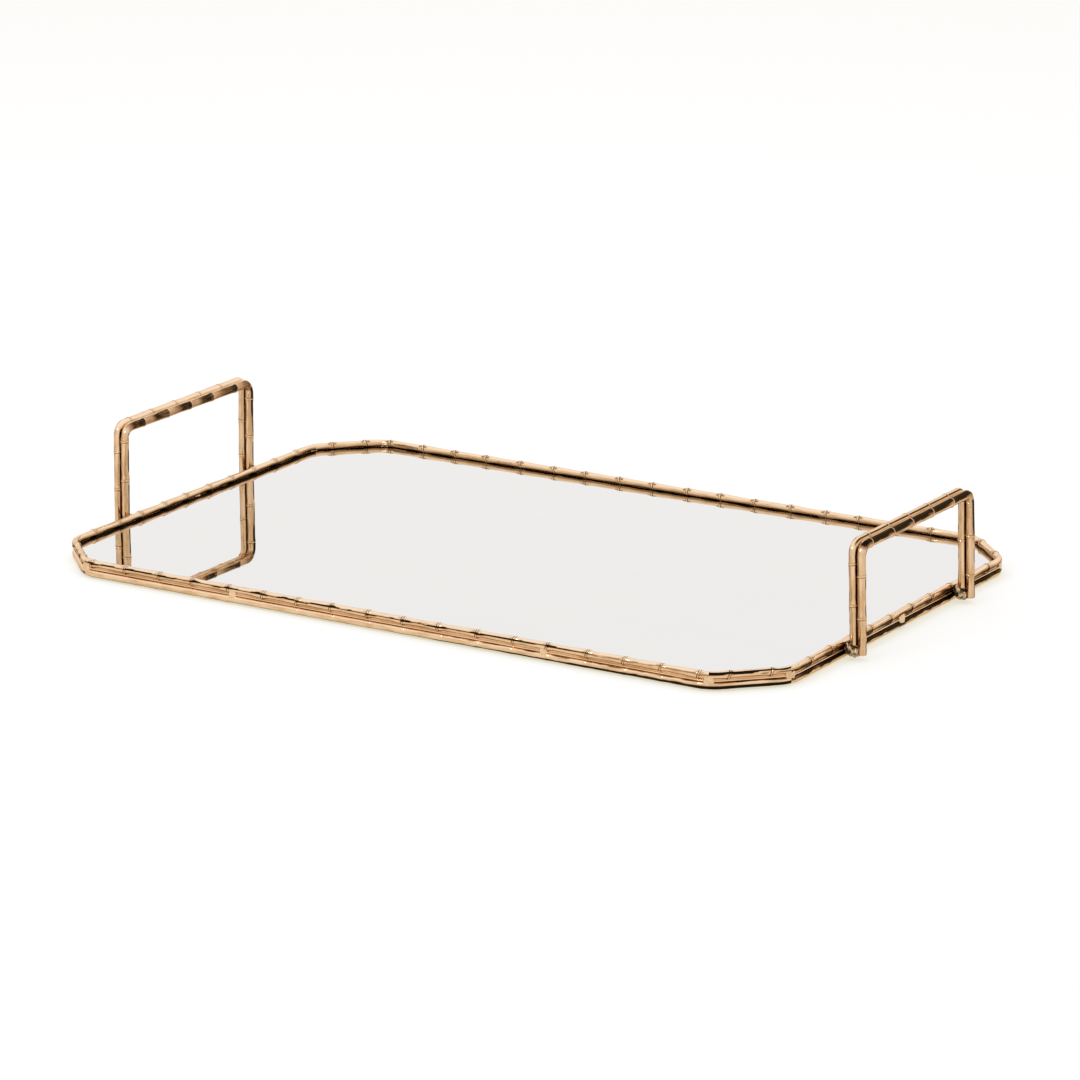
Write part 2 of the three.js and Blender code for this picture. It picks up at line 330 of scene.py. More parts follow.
# ---- bamboo rods ----
SIDES = 28
STEP = 1.4 * MM
HALF_STEPS = [d * MM for d in (0.08, 0.2, 0.36, 0.55, 0.8, 1.2, 1.8)]
NODE_STEPS = [-d for d in reversed(HALF_STEPS)] + HALF_STEPS
NODE_REACH = 2.0 * MM
SHORTEST_STEP = 0.06 * MM
RIDGE_WIDTH, GROOVE_WIDTH, GROOVE_AT = 0.34 * MM, 0.26 * MM, 0.62 * MM
RIDGE_HEIGHT, GROOVE_DEPTH = 0.22, 0.11  # in mm, on a rod with crisp = 1
DROP_LENGTH = 3.6 * MM
SLANT_REACH = 4 * MM
# in mm, and over what length: how far a rod wanders, and its small and wide dents
DRIFT, DRIFT_PITCH = 0.16, 48 * MM
LUMP, LUMP_PITCH = 0.1, 6.5 * MM
WIDE_LUMP, WIDE_LUMP_PITCH = 0.13, 17 * MM
ROD_SHARP = math.radians(50)
TURN = np.linspace(0, 2 * math.pi, SIDES, endpoint=False)
COS, SIN = np.cos(TURN), np.sin(TURN)


def smoothstep(low, high, x):
    x = np.clip((x - low) / (high - low), 0.0, 1.0)
    return x * x * (3 - 2 * x)


def bell(x, width):
    return np.exp(-((x / width) ** 2))


def nodes_at(first, pitch, count, rng, jitter=1.1 * MM):
    """Bamboo nodes at an even pitch, each put a little off by hand."""
    return np.array([first + i * pitch + rng.uniform(-jitter, jitter) for i in range(count)])


def stations(length, nodes):
    """Distances along a rod where a ring of points goes: even steps, closer at each node."""
    marks = [0.0, length]
    for u in nodes:
        marks += [u + d for d in NODE_STEPS]
    even = [u for u in np.arange(0.0, length, STEP) if np.min(np.abs(nodes - u)) > NODE_REACH]
    marks = sorted(m for m in marks + even if 0.0 <= m <= length)
    out = [marks[0]]
    for m in marks[1:]:
        if m - out[-1] > SHORTEST_STEP:
            out.append(m)
    out[-1] = length
    return np.array(out)


def bamboo(s, nodes, node_r, waist_r, crisp):
    """Shape of a rod at distances s: a slow flare up to each node, a thin raised ring with a
    groove on both sides, and a quick drop to the waist beyond. crisp says how sharp it is. t
    runs from 0 at one node to 1 at the next, and d is the distance from the nearest node."""
    gaps = np.diff(nodes)
    pitch = gaps.mean()
    ends = np.concatenate(([nodes[0] - pitch], nodes, [nodes[-1] + pitch]))
    i = np.clip(np.searchsorted(ends, s, side="right") - 1, 0, len(ends) - 2)
    t = (s - ends[i]) / (ends[i + 1] - ends[i])
    flare = 0.3 * t + 0.7 * t**4
    drop = 1 - smoothstep(0, DROP_LENGTH, s - ends[i])
    d = s[:, None] - nodes[None, :]
    ridge = bell(d, RIDGE_WIDTH).sum(1)
    before, after = bell(d + GROOVE_AT, GROOVE_WIDTH), bell(d - GROOVE_AT, GROOVE_WIDTH)
    groove = (before + 0.7 * after).sum(1)
    radius = waist_r + (node_r - waist_r) * np.maximum(flare, drop)
    radius += crisp * MM * (RIDGE_HEIGHT * ridge - GROOVE_DEPTH * groove)
    nearest = np.abs(d).argmin(1)
    return {
        "radius": radius,
        "groove": np.clip(crisp * groove, 0, 1),
        "ridge": np.clip(ridge, 0, 1),
        "t": t,
        "d": d[np.arange(len(s)), nearest],
        "nearest": nearest,
    }


def slants(count, rng):
    """How far each node leans along the rod, from its middle to its top."""
    return np.array([rng.uniform(0.35, 1.0) * MM for _ in range(count)])


def rod_mesh(name, s, rings, shape, dark, up, seed, slant, lumps, bevel=0.0):
    """Sweeps a lumpy round section through rings of (centre, direction, end plane normal).
    dark is the patina with painted shade and painted dark reflections at every station and angle,
    slant how far the rings lean at a node, lumps how dented the rod is, and bevel how much
    smaller its ends are."""
    length = s[-1]
    coords, rod, sky = [], [], []
    shift = Vector((seed * 7.31, seed * 3.17, seed * 1.73))
    lean = slant[shape["nearest"]] * bell(shape["d"], SLANT_REACH)
    for k, (p, t, n) in enumerate(rings):
        side = t.cross(up).normalized()
        top = side.cross(t).normalized()
        end = k in (0, len(rings) - 1)
        fade = 0.0 if end else math.sin(math.pi * s[k] / length) ** 0.5
        drift = noise.noise_vector(Vector((s[k] / DRIFT_PITCH, 0, 0)) + shift) * DRIFT * MM * fade
        centre = p + side * drift.x + top * drift.y
        inset = bevel if end else 0.0
        for c, q in zip(COS, SIN):
            at = Vector((s[k] / LUMP_PITCH, c * 1.3, q * 1.3)) + shift
            wide = Vector((s[k] / WIDE_LUMP_PITCH, c * 0.6, q * 0.6)) - shift
            lump = lumps * MM * (LUMP * noise.noise(at) + WIDE_LUMP * noise.noise(wide))
            r = shape["radius"][k] + lump - inset
            offset = side * (r * c) + top * (r * q)
            if end:
                offset -= t * (offset.dot(n) / t.dot(n))
            else:
                offset += t * (lean[k] * q)
            coords.append(centre + offset)
            rod.append((s[k], c, q))
            sky.append((side * c + top * q).z)
    faces = []
    for k in range(len(rings) - 1):
        for j in range(SIDES):
            a, b = k * SIDES + j, k * SIDES + (j + 1) % SIDES
            faces.append((a, a + SIDES, b + SIDES, b))
    last = (len(rings) - 1) * SIDES
    faces.append(tuple(range(SIDES)))
    faces.append(tuple(last + j for j in reversed(range(SIDES))))
    mesh = bpy.data.meshes.new(name)
    mesh.from_pydata(coords, [], faces)
    mesh.attributes.new("rod", "FLOAT_VECTOR", "POINT").data.foreach_set("vector", np.ravel(rod))
    mesh.attributes.new("sky", "FLOAT", "POINT").data.foreach_set("value", sky)
    # dark holds patina together with painted shade and painted dark reflections
    patina = np.clip(dark, 0, 1).astype(np.float32).ravel()
    mesh.attributes.new("dark", "FLOAT", "POINT").data.foreach_set("value", patina)
    mesh.shade_smooth()
    mesh.set_sharp_from_angle(angle=ROD_SHARP)
    mesh.update()
    return mesh


# ---- the eight-sided rings ----
def outline(d):
    """The tray's outline through the rod centres, offset outwards by d."""
    a, b = HALF_LENGTH + d, HALF_WIDTH + d
    c = CORNER_CUT + d * (2 - math.sqrt(2))
    return [Vector(q) for q in (
        (-a + c, -b), (a - c, -b), (a, -b + c), (a, b - c),
        (a - c, b), (-a + c, b), (-a, b - c), (-a, -b + c),
    )]


SIDES_OF_RING = [
    ("rail_front", LONG_NODES, LONG_PITCH), ("corner_fr", CORNER_NODES, CORNER_PITCH),
    ("rail_right", END_NODES, END_PITCH), ("corner_br", CORNER_NODES, CORNER_PITCH),
    ("rail_back", LONG_NODES, LONG_PITCH), ("corner_bl", CORNER_NODES, CORNER_PITCH),
    ("rail_left", END_NODES, END_PITCH), ("corner_fl", CORNER_NODES, CORNER_PITCH),
]
MITRE = 0.03 * MM  # half the gap between two neighbours
MITRE_R = (ROD_NODE_R + ROD_WAIST_R) / 2
END_CLEAR = 0.7 * MM
RINGS = {
    "upper": {"z": UPPER_Z, "node_r": ROD_NODE_R, "waist_r": ROD_WAIST_R,
              "crisp": 1.0, "lumps": 1.35, "seed": 10},
    "lower": {"z": LOWER_Z, "node_r": LOWER_NODE_R, "waist_r": LOWER_WAIST_R,
              "crisp": 0.3, "lumps": 0.8, "seed": 30},
}
END_SIDES = ("rail_right", "corner_br", "rail_left", "corner_bl")
TOUCH_AT, TOUCH_WIDTH = 1.9 * MM, 0.95 * MM
TOUCH = {"rail_back": 0.8, "corner_bl": 0.7, "corner_br": 0.7}


def bent(a, b, before, after, u):
    """Centre and direction at distance u along the side from a to b. Its two ends bend half
    way towards the neighbouring sides."""
    length = (b - a).length
    t = (b - a).normalized()
    for corner, towards, gap in ((a, before, u), (b, after, length - u)):
        if gap < BEND:
            other = (towards - corner).normalized()
            along = t if corner == a else -t
            f = 0.5 * (1 - gap / BEND)
            p0, p2 = corner + along * BEND, corner + other * BEND
            at = p0 * (1 - f) ** 2 + corner * (2 * f * (1 - f)) + p2 * f**2
            way = (corner - p0) * (1 - f) + (p2 - corner) * f
            return at, (-way if corner == a else way).normalized()
    return a + t * u, t


def ripple(s, pitch, seed):
    """A smooth random wave along a rod, one value for each station."""
    return np.array([[1.6 * noise.noise(Vector((u / pitch, seed * 3.7, 0.5)))] for u in s])


def upper_outside_painted_reflection(name, wave, slow, t, along):
    """Painted dark reflections on the outside of the upper ring: on the end sides they climb from
    each node to the next, on the front right corner they form a band near the top, elsewhere one
    wavy line."""
    up = SIN[None, :]
    if name in END_SIDES:
        edge = -0.24 + 0.5 * t**1.2 + 0.12 * wave
        brown = 0.44 * smoothstep(edge + 0.6, edge + 0.25, up)
        return np.maximum(brown, smoothstep(edge + 0.12, edge - 0.12, up))
    if name == "corner_fr":
        second_half = smoothstep(0.5, 0.65, along)
        low = 0.1 + 0.12 * wave + 0.35 * second_half
        band = smoothstep(low, low + 0.1, up) * smoothstep(0.9, 0.8, up)
        line = second_half * smoothstep(0.1, 0.04, np.abs(up - 0.05 - 0.08 * wave))
        return np.maximum(band, line)
    centre = 0.27 + 0.09 * wave + 0.15 * slow
    width = 0.19 + 0.13 * smoothstep(0.45, 0.05, t) + 0.07 * wave
    strength = 1 - 0.5 * smoothstep(0.74, 0.86, along)
    return strength * smoothstep(width, 0.7 * width, np.abs(up - centre))


def lower_outside_painted_shade_and_reflection(name, wave, slow, along):
    """Painted shade and painted dark reflection on the outside of the lower ring: a painted dark
    reflection over the whole upper half on the end sides, elsewhere painted shade on the
    underside and in a streak under the flange, both growing along the side."""
    up = SIN[None, :]
    if name in END_SIDES:
        low = 0.06 + 0.2 * wave
        return (0.9 + 0.25 * slow) * smoothstep(low - 0.06, low + 0.1, up)
    if name == "corner_fr":
        under = smoothstep(0.14, 0.02, up + 0.06 * wave)
        streak = (0.55 + 0.5 * wave) * bell(up - 0.72 - 0.1 * slow, 0.16)
        return np.maximum(under, streak)
    edge = -0.75 + 0.78 * smoothstep(0.4, 1.0, along)
    under = smoothstep(edge + 0.1, edge - 0.08, up + 0.06 * wave)
    patchy = (0.4 + 0.5 * wave) * smoothstep(0.4, 0.8, along)
    return np.maximum(under, patchy * bell(up - 0.78 - 0.08 * slow, 0.13))


def outer_painted_reflection_and_shade(ring, name, s, length, shape, seed):
    """Painted dark reflections and painted shade on the side of a ring rod that is turned away
    from the mirror.
    """
    wave = ripple(s, 5 * MM, seed)
    slow = ripple(s, 14 * MM, seed + 0.5)
    along = (s / length)[:, None]
    if ring == "upper":
        return upper_outside_painted_reflection(name, wave, slow, shape["t"][:, None], along)
    return lower_outside_painted_shade_and_reflection(name, wave, slow, along)


def inner_painted_shade(ring, name, s, seed):
    """Painted shade on the lower side of a ring rod that is turned to the mirror, darker towards
    the bottom.
    """
    if ring == "lower":
        return 0.3 * smoothstep(0.2, -0.3, SIN)[None, :] * np.ones((len(s), 1))
    wave = 0.1 * ripple(s, 9 * MM, seed)
    up = SIN[None, :] + wave
    if name in ("rail_left", "rail_right"):
        return np.maximum(0.5 * smoothstep(0.32, 0.02, up), smoothstep(0.05, -0.35, up))
    return np.maximum(0.5 * smoothstep(0.15, -0.3, up), 0.84 * smoothstep(-0.4, -0.7, up))


def rail_patina_and_painted_shade(ring, name, s, length, shape, seed):
    """Patina and painted shade of a ring rod: patina in the grooves, a dark touch on both sides
    of each upper node, painted dark reflections and painted shade on the sides, and painted shade
    on the flanks beside the bead of an end rail."""
    spot = bell(np.abs(shape["d"]) - TOUCH_AT, TOUCH_WIDTH)[:, None]
    facing = bell(SIN - 0.72, 0.2)[None, :]
    touch = TOUCH.get(name, 0.35) if ring == "upper" else 0.0
    out = smoothstep(-0.15, 0.1, COS)[None, :]
    sides = out * outer_painted_reflection_and_shade(ring, name, s, length, shape, seed)
    sides = sides + (1 - out) * inner_painted_shade(ring, name, s, seed)
    # painted shade on the flanks beside the middle bead of an end rail, on the lower outside
    if name in ("rail_right", "rail_left"):
        beside_bead = smoothstep(5 * MM, 3.4 * MM, np.abs(s - length / 2))[:, None]
        low_down = smoothstep(0.6, 0.2, SIN)[None, :]
        sides = np.maximum(sides, 0.8 * beside_bead * out * low_down)
    groove = (0.9 if ring == "upper" else 0.35) * shape["groove"][:, None] * np.ones(SIDES)
    return np.maximum(np.maximum(groove, touch * spot * facing), sides)


def rail(ring, i):
    """One straight rod of a ring, mitred against its neighbours."""
    name, count, pitch = SIDES_OF_RING[i]
    form = RINGS[ring]
    lift = Vector((0, 0, form["z"]))
    corners = outline(0)
    before, a, b, after = (corners[(i + k) % 8].to_3d() + lift for k in (-1, 0, 1, 2))
    length = (b - a).length
    t = (b - a).normalized()
    n_start = (t + (a - before).normalized()).normalized()
    n_end = (t + (after - b).normalized()).normalized()
    seed = form["seed"] + i
    rng = random.Random(seed)
    nodes = nodes_at((length - (count - 1) * pitch) / 2, pitch, count, rng)
    s = stations(length, nodes)
    keep = (s > END_CLEAR) & (s < length - END_CLEAR)
    keep[0] = keep[-1] = True
    s = s[keep]
    s[0], s[-1] = MITRE, length - MITRE
    shape = bamboo(s, nodes, form["node_r"], form["waist_r"], form["crisp"])
    shape["radius"][0] = shape["radius"][-1] = MITRE_R
    rings = []
    for k, u in enumerate(s):
        at, way = bent(a, b, before, after, u)
        n = n_start if k == 0 else n_end if k == len(s) - 1 else way
        rings.append((at, way, n))
    dark = rail_patina_and_painted_shade(ring, name, s, length, shape, seed)
    up = Vector((0, 0, 1))
    slant = slants(count, rng)
    title = f"{ring}_{name}_rod"
    mesh = rod_mesh(title, s, rings, shape, dark, up, seed, slant, form["lumps"])
    piece(title, mesh, BRASS, f"{ring}_{name}")


for ring in RINGS:
    for i in range(len(SIDES_OF_RING)):
        rail(ring, i)


# ---- handles ----
RODS = {
    "outer": {"off": OUTER_OFF, "foot": OUTER_FOOT, "first": OUTER_FIRST, "seed": 50},
    "inner": {"off": INNER_OFF, "foot": INNER_FOOT, "first": INNER_FIRST, "seed": 60},
}
NEAR_BARS = (("right", "outer"), ("left", "inner"))
NEAR_BAR_EXTRA_R = 0.25 * MM
LAST_NODE_CLEAR = 6 * MM
HANDLE_CRISP = 0.75
HANDLE_LUMPS = 0.75
FOOT_BEVEL = 0.25 * MM
# cosine and sine of the angle at which a bar is looked down on from the front right
BAR_COS, BAR_SIN = 0.877, 0.48
# parts of +X and +Y in the direction that runs from left to right in that view
RIGHT_X, RIGHT_Y = 0.851, 0.526


def hoop_point(hoop, kind, s):
    """Centre, direction and total length at distance s along a hoop rod, from its front foot."""
    off, foot, bar_z = RODS[kind]["off"], RODS[kind]["foot"], hoop[kind]
    leg = bar_z - HANDLE_BEND - foot
    arc = math.pi / 2 * HANDLE_BEND
    total = 2 * leg + 2 * arc + 2 * (HANDLE_HALF - HANDLE_BEND)
    back = s > total / 2
    u = total - s if back else s
    if u <= leg:
        y, z, ty, tz = -HANDLE_HALF, foot + u, 0.0, 1.0
    elif u <= leg + arc:
        a = (u - leg) / HANDLE_BEND
        y = -HANDLE_HALF + HANDLE_BEND * (1 - math.cos(a))
        z = bar_z - HANDLE_BEND * (1 - math.sin(a))
        ty, tz = math.sin(a), math.cos(a)
    else:
        y, z, ty, tz = -HANDLE_HALF + HANDLE_BEND + u - leg - arc, bar_z, 1.0, 0.0
    if back:
        y, tz = -y, -tz
    sign, lean = hoop["sign"], hoop["lean"]
    turn = Matrix.Rotation(-sign * lean, 3, "Y")
    pivot = Vector((sign * (HALF_LENGTH + OUTER_OFF), 0, OUTER_FOOT))
    p = Vector((sign * (HALF_LENGTH + off), y, z))
    return pivot + turn @ (p - pivot), turn @ Vector((0, ty, tz)), total


def normals_around(rings, up):
    """Outward directions at every station and angle of a rod."""
    out = []
    for _, t, _ in rings:
        side = t.cross(up).normalized()
        top = side.cross(t).normalized()
        out.append(np.outer(COS, side) + np.outer(SIN, top))
    return np.array(out)


def bar_painted_reflection(hoop, kind, normals, shape, wave):
    """The painted dark reflections on the top bar of a hoop. high runs from the lower front edge,
    -1, up to the upper back edge, 1, and near says how much a spot faces the front right. The
    face of the right outer bar is painted black, the left inner one is painted brown before each
    node, a painted dark line runs beside the right inner bar, and the hidden faces get matching
    painted brown patches."""
    nx, nz = normals[..., 0], normals[..., 2]
    high = BAR_COS * nz - BAR_SIN * nx
    near = BAR_COS * nx + BAR_SIN * nz
    t = shape["t"][:, None]
    before_node = smoothstep(0.2, 0.8, t)
    if (hoop["side"], kind) == ("right", "outer"):
        face = smoothstep(-0.62, -0.45, high + 0.08 * wave) * smoothstep(0.92, 0.8, high)
        # uneven: the painted black reflection is lighter on its lower part towards the next node
        uneven = smoothstep(0.45, 0.95, t) * smoothstep(0.35, -0.35, high)
        return face * smoothstep(-0.35, 0.0, near) * (1 - (0.5 + 0.25 * wave) * uneven)
    if (hoop["side"], kind) == ("left", "inner"):
        band = smoothstep(-1.0, -0.8, high) * smoothstep(0.85, 0.6, high + 0.1 * wave)
        depth = 0.36 + 0.38 * smoothstep(0.1, 0.65, t) + 0.1 * wave
        return band * smoothstep(-0.2, 0.2, near) * depth
    patches = 0.6 * before_node * smoothstep(0.1, 0.5, -BAR_COS * nx + 0.3 * wave)
    if hoop["side"] == "right":
        line = bell(high - 0.32, 0.2) * smoothstep(-0.2, 0.2, near)
        patches = np.maximum(patches, line)
    return patches


def leg_painted_shade(hoop, kind, rings, normals, wave):
    """Painted shade in the creases between the two legs, painted dark reflections along their
    edges, and faint painted shade that leaves a painted highlight line down each leg. across runs
    from left to right on a leg, as seen from the front right. The top of the back leg has a
    painted black reflection on its right, like the bar."""
    across = RIGHT_X * normals[..., 0] + RIGHT_Y * normals[..., 1]
    height = np.array([p.z for p, _, _ in rings])[:, None]
    is_back = np.array([p.y > 0 for p, _, _ in rings])[:, None]
    # uneven breaks up the painted dark edges along the leg
    uneven = smoothstep(-0.5, 0.3, wave)
    if (hoop["side"], kind) in (("right", "inner"), ("left", "outer")):
        crease = 0.92 * smoothstep(0.28, 0.6, across + 0.1 * wave)
        rim = 0.8 * uneven * smoothstep(-0.8, -0.93, across)
        shade = 0.2 * smoothstep(0.1, 0.35, np.abs(across + 0.1))
        return np.maximum(np.maximum(crease, rim), shade)
    crease = 0.5 * smoothstep(-0.4, -0.85, across + 0.1 * wave)
    edge = uneven * smoothstep(0.74, 0.9, across)
    back_top = smoothstep(28 * MM, 50 * MM, height) * is_back
    edge = np.maximum(edge, back_top * smoothstep(0.4, 0.62, across))
    shade = 0.2 * smoothstep(0.1, 0.35, np.abs(across + 0.25))
    return np.maximum(np.maximum(crease, edge), shade)


def hoop_patina_and_painted_shade(hoop, kind, rings, shape, s, seed):
    """Patina in the grooves everywhere, painted dark reflections on the bar, painted shade in the
    creases between the legs, and stains at the bends. The raised rings stay bright. level is 1 on
    the bar and 0 on a leg."""
    normals = normals_around(rings, Vector((1, 0, 0)))
    wave = ripple(s, 4.5 * MM, seed)
    groove = 0.85 * shape["groove"][:, None] * np.ones(SIDES)
    level = np.array([abs(t.y) for _, t, _ in rings])[:, None]
    on_bar = smoothstep(0.5, 0.9, level)
    on_leg = smoothstep(0.8, 0.4, level)
    off_ridge = (1 - 0.9 * shape["ridge"])[:, None]
    spread = 9 * MM
    cloud = np.array([
        noise.noise(Vector((p.y / spread, p.z / spread, seed))) for p, _, _ in rings
    ])
    stain = 0.85 * bell(level - 0.7, 0.3) * smoothstep(-0.05, 0.35, cloud)[:, None]
    stain = stain * smoothstep(-0.6, 0.2, COS)[None, :]
    bar = on_bar * bar_painted_reflection(hoop, kind, normals, shape, wave)
    leg = on_leg * leg_painted_shade(hoop, kind, rings, normals, wave)
    return np.maximum(np.maximum(groove, stain), off_ridge * np.maximum(bar, leg))


def handle_rod(hoop, kind, seed):
    """One rod of a hoop, from the foot of its front leg to the foot of its back leg."""
    total = hoop_point(hoop, kind, 0)[2]
    first = RODS[kind]["first"]
    count = int((total - LAST_NODE_CLEAR - first) // HANDLE_PITCH) + 1
    rng = random.Random(seed)
    nodes = nodes_at(first, HANDLE_PITCH, count, rng)
    s = stations(total, nodes)
    shape = bamboo(s, nodes, HANDLE_NODE_R, HANDLE_WAIST_R, HANDLE_CRISP)
    rings = []
    for u in s:
        p, t, _ = hoop_point(hoop, kind, u)
        rings.append((p, t, t))
    if (hoop["side"], kind) in NEAR_BARS:
        level = np.array([abs(t.y) for _, t, _ in rings])
        shape["radius"] += NEAR_BAR_EXTRA_R * smoothstep(0.3, 1.0, level)
    dark = hoop_patina_and_painted_shade(hoop, kind, rings, shape, s, seed)
    name = f"handle_{hoop['side']}_{kind}"
    up = Vector((1, 0, 0))
    slant = 0.5 * slants(count, rng)
    mesh = rod_mesh(
        f"{name}_rod", s, rings, shape, dark, up, seed, slant, HANDLE_LUMPS, FOOT_BEVEL)
    piece(f"{name}_rod", mesh, BRASS, name)


for k, hoop in enumerate(HOOPS):
    for kind in RODS:
        handle_rod(hoop, kind, RODS[kind]["seed"] + k)


# ---- pan, mirror and felt ----
PLATE_SHARP = math.radians(40)
BEND_STEPS = 9


def ring_loops(section):
    """Loops of points around the tray, one for each (offset, height) of the section. Corners
    are rounded by a short arc."""
    loops = []
    for d, z in section:
        pts = outline(d)
        loop = []
        for k, q in enumerate(pts):
            before, after = pts[k - 1], pts[(k + 1) % 8]
            p0 = q + (before - q).normalized() * BEND
            p2 = q + (after - q).normalized() * BEND
            for f in np.linspace(0, 1, BEND_STEPS):
                at = p0 * (1 - f) ** 2 + q * (2 * f * (1 - f)) + p2 * f**2
                loop.append((at.x, at.y, z))
        loops.append(loop)
    return loops


def plate_mesh(name, section):
    """A closed plate or cup: the section runs from one flat face round to the other."""
    loops = ring_loops(section)
    count = len(loops[0])
    coords = [p for loop in loops for p in loop]
    faces = []
    for k in range(len(loops) - 1):
        for j in range(count):
            a, b = k * count + j, k * count + (j + 1) % count
            faces.append((a, b, b + count, a + count))
    faces.append(tuple(reversed(range(count))))
    last = (len(loops) - 1) * count
    faces.append(tuple(last + j for j in range(count)))
    mesh = bpy.data.meshes.new(name)
    mesh.from_pydata(coords, [], faces)
    mesh.shade_smooth()
    mesh.set_sharp_from_angle(angle=PLATE_SHARP)
    for flat in mesh.polygons[-2:]:
        flat.use_smooth = False
        for k in flat.loop_indices:
            mesh.edges[mesh.loops[k].edge_index].use_edge_sharp = True
    mesh.update()
    return mesh


def arc_section(d, z, r, start, end, steps=5):
    """Points of a small quarter round, for the edges of sheet and glass."""
    turn = [math.radians(start + (end - start) * k / steps) for k in range(steps + 1)]
    return [(d + r * math.cos(a), z + r * math.sin(a)) for a in turn]


def build_pan():
    """Underside, wall, flange with a rolled edge, the soldered seam that closes the gap under
    the rods, and back down the inside of the cup."""
    r = ROLLED_EDGE_R
    bend = 0.6 * MM
    section = arc_section(-PAN_IN - bend, PAN_LOW + bend, bend, -90, 0)
    section += [(-PAN_IN, FLANGE_TOP - FLANGE_T)]
    section += arc_section(FLANGE_OUT - r, FLANGE_TOP - FLANGE_T + r, r, -90, 150, 10)
    section += [(FLANGE_OUT - 2 * r, FLANGE_TOP), (SEAM_HALF, FLANGE_TOP), (SEAM_HALF, SEAM_TOP)]
    section += [(-SEAM_HALF, SEAM_TOP), (-SEAM_HALF, FLANGE_TOP)]
    section += [(-PAN_IN - PAN_SHEET, FLANGE_TOP), (-PAN_IN - PAN_SHEET, PAN_LOW + PAN_SHEET)]
    piece("pan_sheet", plate_mesh("pan_sheet", section), PAN_BRASS, "mirror_pan")


def build_mirror():
    """The plate fills the cup, and its upper edge laps over the flange under the rods."""
    r = 0.2 * MM
    lap = FLANGE_TOP + 0.06 * MM
    section = arc_section(-GLASS_IN - r, GLASS_LOW + r, r, -90, 0, 3)
    section += [(-GLASS_IN, lap), (-GLASS_LAP, lap)]
    section += arc_section(-GLASS_LAP - r, GLASS_TOP - r, r, 0, 90, 4)
    piece("mirror_plate", plate_mesh("mirror_plate", section), MIRROR, "mirror_glass")


def build_felt():
    """The covered board under the pan, with a rounded lower edge."""
    r = 0.5 * MM
    section = arc_section(-FELT_IN - r, r, r, -90, 0, 4) + [(-FELT_IN, FELT_TOP)]
    piece("felt_cover", plate_mesh("felt_cover", section), FELT, "felt_base")


build_pan()
build_mirror()
build_felt()


# ---- welds ----
VOXEL = 0.22 * MM
PIMPLE = 1.6 * MM


def blob_mesh(name, lumps, seed, rough):
    """Melts a few ellipsoids of (centre, radii) into one lumpy bead, rough by so much."""
    sphere = bpy.data.meshes.new("ball")
    bm = bmesh.new()
    for centre, radii in lumps:
        made = bmesh.ops.create_icosphere(bm, subdivisions=4, radius=1.0)
        for v in made["verts"]:
            v.co = Vector(centre) + Vector(a * b for a, b in zip(v.co, radii))
    bm.to_mesh(sphere)
    bm.free()
    obj = bpy.data.objects.new("ball", sphere)
    bpy.context.scene.collection.objects.link(obj)
    melt = obj.modifiers.new("melt", "REMESH")
    melt.mode = "VOXEL"
    melt.voxel_size = VOXEL
    ease = obj.modifiers.new("ease", "SMOOTH")
    ease.iterations = 6
    ease.factor = 0.5
    depsgraph = bpy.context.evaluated_depsgraph_get()
    mesh = bpy.data.meshes.new_from_object(obj.evaluated_get(depsgraph))
    bpy.data.objects.remove(obj)
    mesh.name = name
    shift = Vector((seed * 5.1, seed * 2.3, 0))
    for v in mesh.vertices:
        p = v.co / PIMPLE + shift
        v.co += v.normal * rough * (noise.noise(p) + 0.5 * noise.noise(p * 2.3))
    mesh.shade_smooth()
    mesh.update()
    return mesh


def weld(node, lumps, seed, material, rough):
    name = f"{node}_bead"
    piece(name, blob_mesh(name, lumps, seed, rough), material, node)


MID_Z = (UPPER_Z + LOWER_Z) / 2
# in mm: how far a bead of the rings sits outside the rods' centres, its radius and half height
BEAD_OUT, BEAD_R, BEAD_HALF_HEIGHT = 0.6, 1.45, 3.2
RING_BEAD_ROUGH = 0.07 * MM
LEG_BEAD_ROUGH = 0.42 * MM
CORNER_BEAD_LENGTH = 3.4 * MM
LONG_BEAD_LENGTH = 2.4 * MM
END_BEAD_LENGTH = 2.8 * MM
END_BEAD_SIZE = 1.22
BEAD_SEEDS = {"corner": 70, "front": 80, "back": 84, "end": 88, "leg_front": 90, "leg_back": 94}
# each corner of the outline has one bead, named by the corner and the rail next to it
CORNER_TAGS = ("fl_front", "fr_front", "fr_end", "br_end",
               "br_back", "bl_back", "bl_end", "fl_end")


def ring_bead(node, x, y, out, along, seed, size=1.0):
    """A bead that bridges the two rings from outside, at (x, y), facing out, so long along
    the rail."""
    side = Vector((-out.y, out.x))
    rng = random.Random(seed)
    lumps = []
    for k in (-1, 0, 1):
        stand_off = (BEAD_OUT * size + rng.uniform(-0.1, 0.15)) * MM
        at = Vector((x, y)) + out * stand_off + side * (k * along * 0.5)
        half_height = (BEAD_HALF_HEIGHT * size + rng.uniform(-0.3, 0.3)) * MM
        radii = (BEAD_R * size * MM, BEAD_R * size * MM, half_height)
        lumps.append(((at.x, at.y, MID_Z + rng.uniform(-0.2, 0.2) * MM), radii))
    weld(node, lumps, seed, FILLET, RING_BEAD_ROUGH)


# the bent rings cut the corners by this much
CORNER_DROP = BEND / 2 * math.sin(math.radians(22.5))
corner_points, corner_out = outline(0), outline(1 * MM)
for k, tag in enumerate(CORNER_TAGS):
    out = (corner_out[k] - corner_points[k]).normalized()
    centre = corner_points[k] - out * CORNER_DROP
    seed = BEAD_SEEDS["corner"] + k
    ring_bead(f"weld_corner_{tag}", *centre, out, CORNER_BEAD_LENGTH, seed)

